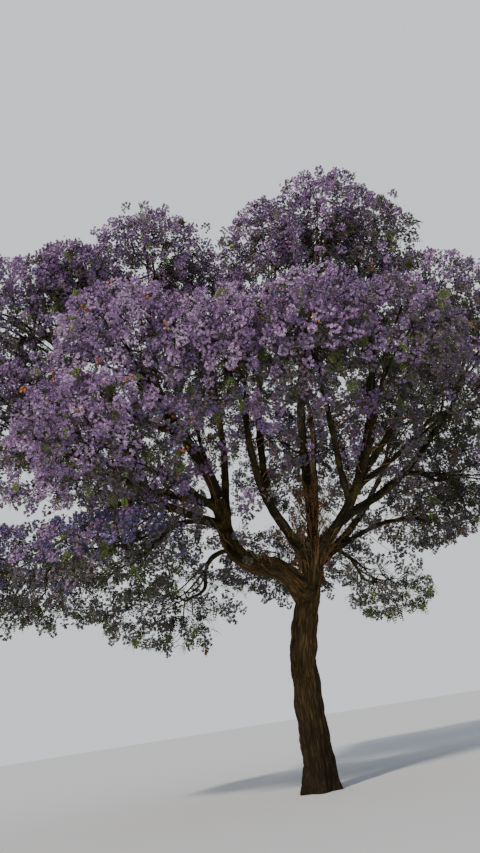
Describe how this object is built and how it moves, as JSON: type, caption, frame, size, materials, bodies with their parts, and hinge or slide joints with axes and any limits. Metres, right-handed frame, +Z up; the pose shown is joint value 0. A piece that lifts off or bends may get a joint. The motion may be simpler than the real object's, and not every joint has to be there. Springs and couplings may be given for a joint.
{
  "type": "jacaranda tree in bloom",
  "caption": "Whole jacaranda tree in full bloom: a leaning, flared trunk that forks low into long tapering boughs under a broad, open crown of lilac blossom.",
  "frame": {"origin": "middle of the flat cut under the trunk, at ground level", "axes": "+Z up from level ground; +Y away from the picture's viewer, from the front of the crown to its back; +X to the picture's right, the side that the trunk leans to"},
  "size_m": [16.0302, 11.5634, 14.7903],
  "materials": {
    "bark": "rough, fissured grey-brown bark, darker at the foot and warmer on the upper boughs",
    "blossom": "soft matt lilac to violet blossom in loose sprays, with a few small green leaf sprays"
  },
  "bodies": {
    "root": {"trunk": "bark", "left_limb": "bark", "bough_back_far_left": "bark", "bough_back_left": "bark", "bough_back_low": "bark", "bough_back_low_left": "bark", "bough_back_middle": "bark", "bough_back_right": "bark", "bough_back_top": "bark", "bough_far_left_low": "bark", "bough_far_left_middle": "bark", "bough_far_left_top": "bark", "bough_front_left": "bark", "bough_front_middle": "bark", "bough_front_right": "bark", "bough_left_front": "bark", "bough_left_low": "bark", "bough_left_near": "bark", "bough_left_notch": "bark", "bough_left_shoulder": "bark", "bough_left_skirt": "bark", "bough_left_top": "bark", "bough_right_back": "bark", "bough_right_edge": "bark", "bough_right_low": "bark", "bough_right_middle": "bark", "bough_right_skirt": "bark", "bough_shoulder": "bark", "bough_top_left": "bark", "bough_top_middle": "bark", "bough_top_right": "bark", "blossom_back_far_left": "blossom", "blossom_back_left": "blossom", "blossom_back_low": "blossom", "blossom_back_low_left": "blossom", "blossom_back_middle": "blossom", "blossom_back_right": "blossom", "blossom_back_top": "blossom", "blossom_far_left_low": "blossom", "blossom_far_left_middle": "blossom", "blossom_far_left_top": "blossom", "blossom_front_left": "blossom", "blossom_front_middle": "blossom", "blossom_front_right": "blossom", "blossom_left_front": "blossom", "blossom_left_low": "blossom", "blossom_left_near": "blossom", "blossom_left_notch": "blossom", "blossom_left_shoulder": "blossom", "blossom_left_skirt": "blossom", "blossom_left_top": "blossom", "blossom_right_back": "blossom", "blossom_right_edge": "blossom", "blossom_right_low": "blossom", "blossom_right_middle": "blossom", "blossom_right_skirt": "blossom", "blossom_shoulder": "blossom", "blossom_top_left": "blossom", "blossom_top_middle": "blossom", "blossom_top_right": "blossom"}
  },
  "joints": []
}
